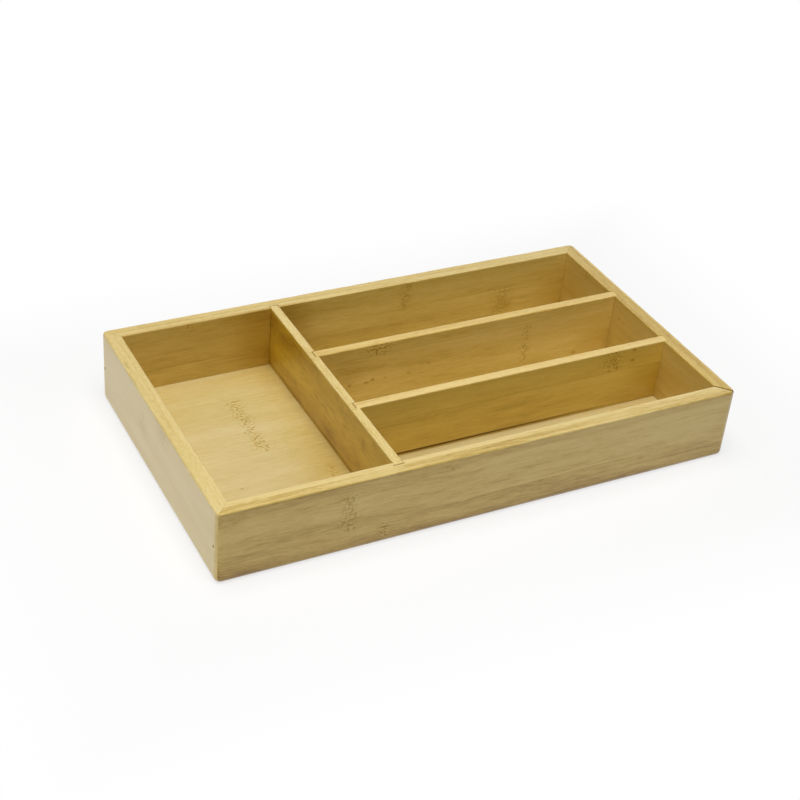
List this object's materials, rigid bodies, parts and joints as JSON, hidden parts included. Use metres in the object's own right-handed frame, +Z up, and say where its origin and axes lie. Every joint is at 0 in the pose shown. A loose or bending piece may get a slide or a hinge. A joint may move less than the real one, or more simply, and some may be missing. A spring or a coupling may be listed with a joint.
{
  "type": "cutlery tray",
  "caption": "Shallow open bamboo tray with mitred walls and a thin floor, parted by let-in upright dividers into a short bay across one end and long lanes for cutlery.",
  "frame": {"origin": "centre of the base, on the plane the tray stands on", "axes": "+X along the length from the short bay to the long lanes, +Y to the back wall, +Z up"},
  "size_m": [0.35, 0.2, 0.05],
  "materials": {
    "bamboo_wall": "satin clear lacquer on pressed bamboo strips, grain along each wall",
    "bamboo_divider": "satin clear lacquer on thin pressed bamboo board, grain along each divider",
    "bamboo_floor": "satin clear lacquer on a thin bamboo panel, grain along the tray",
    "brad_steel": "plain steel brads, heads set just below the wall's face"
  },
  "bodies": {
    "root": {"front_wall": "bamboo_wall", "back_wall": "bamboo_wall", "left_wall": "bamboo_wall", "right_wall": "bamboo_wall", "floor_panel": "bamboo_floor", "cross_divider": "bamboo_divider", "rear_long_divider": "bamboo_divider", "front_long_divider": "bamboo_divider", "corner_brads": "brad_steel"}
  },
  "joints": []
}
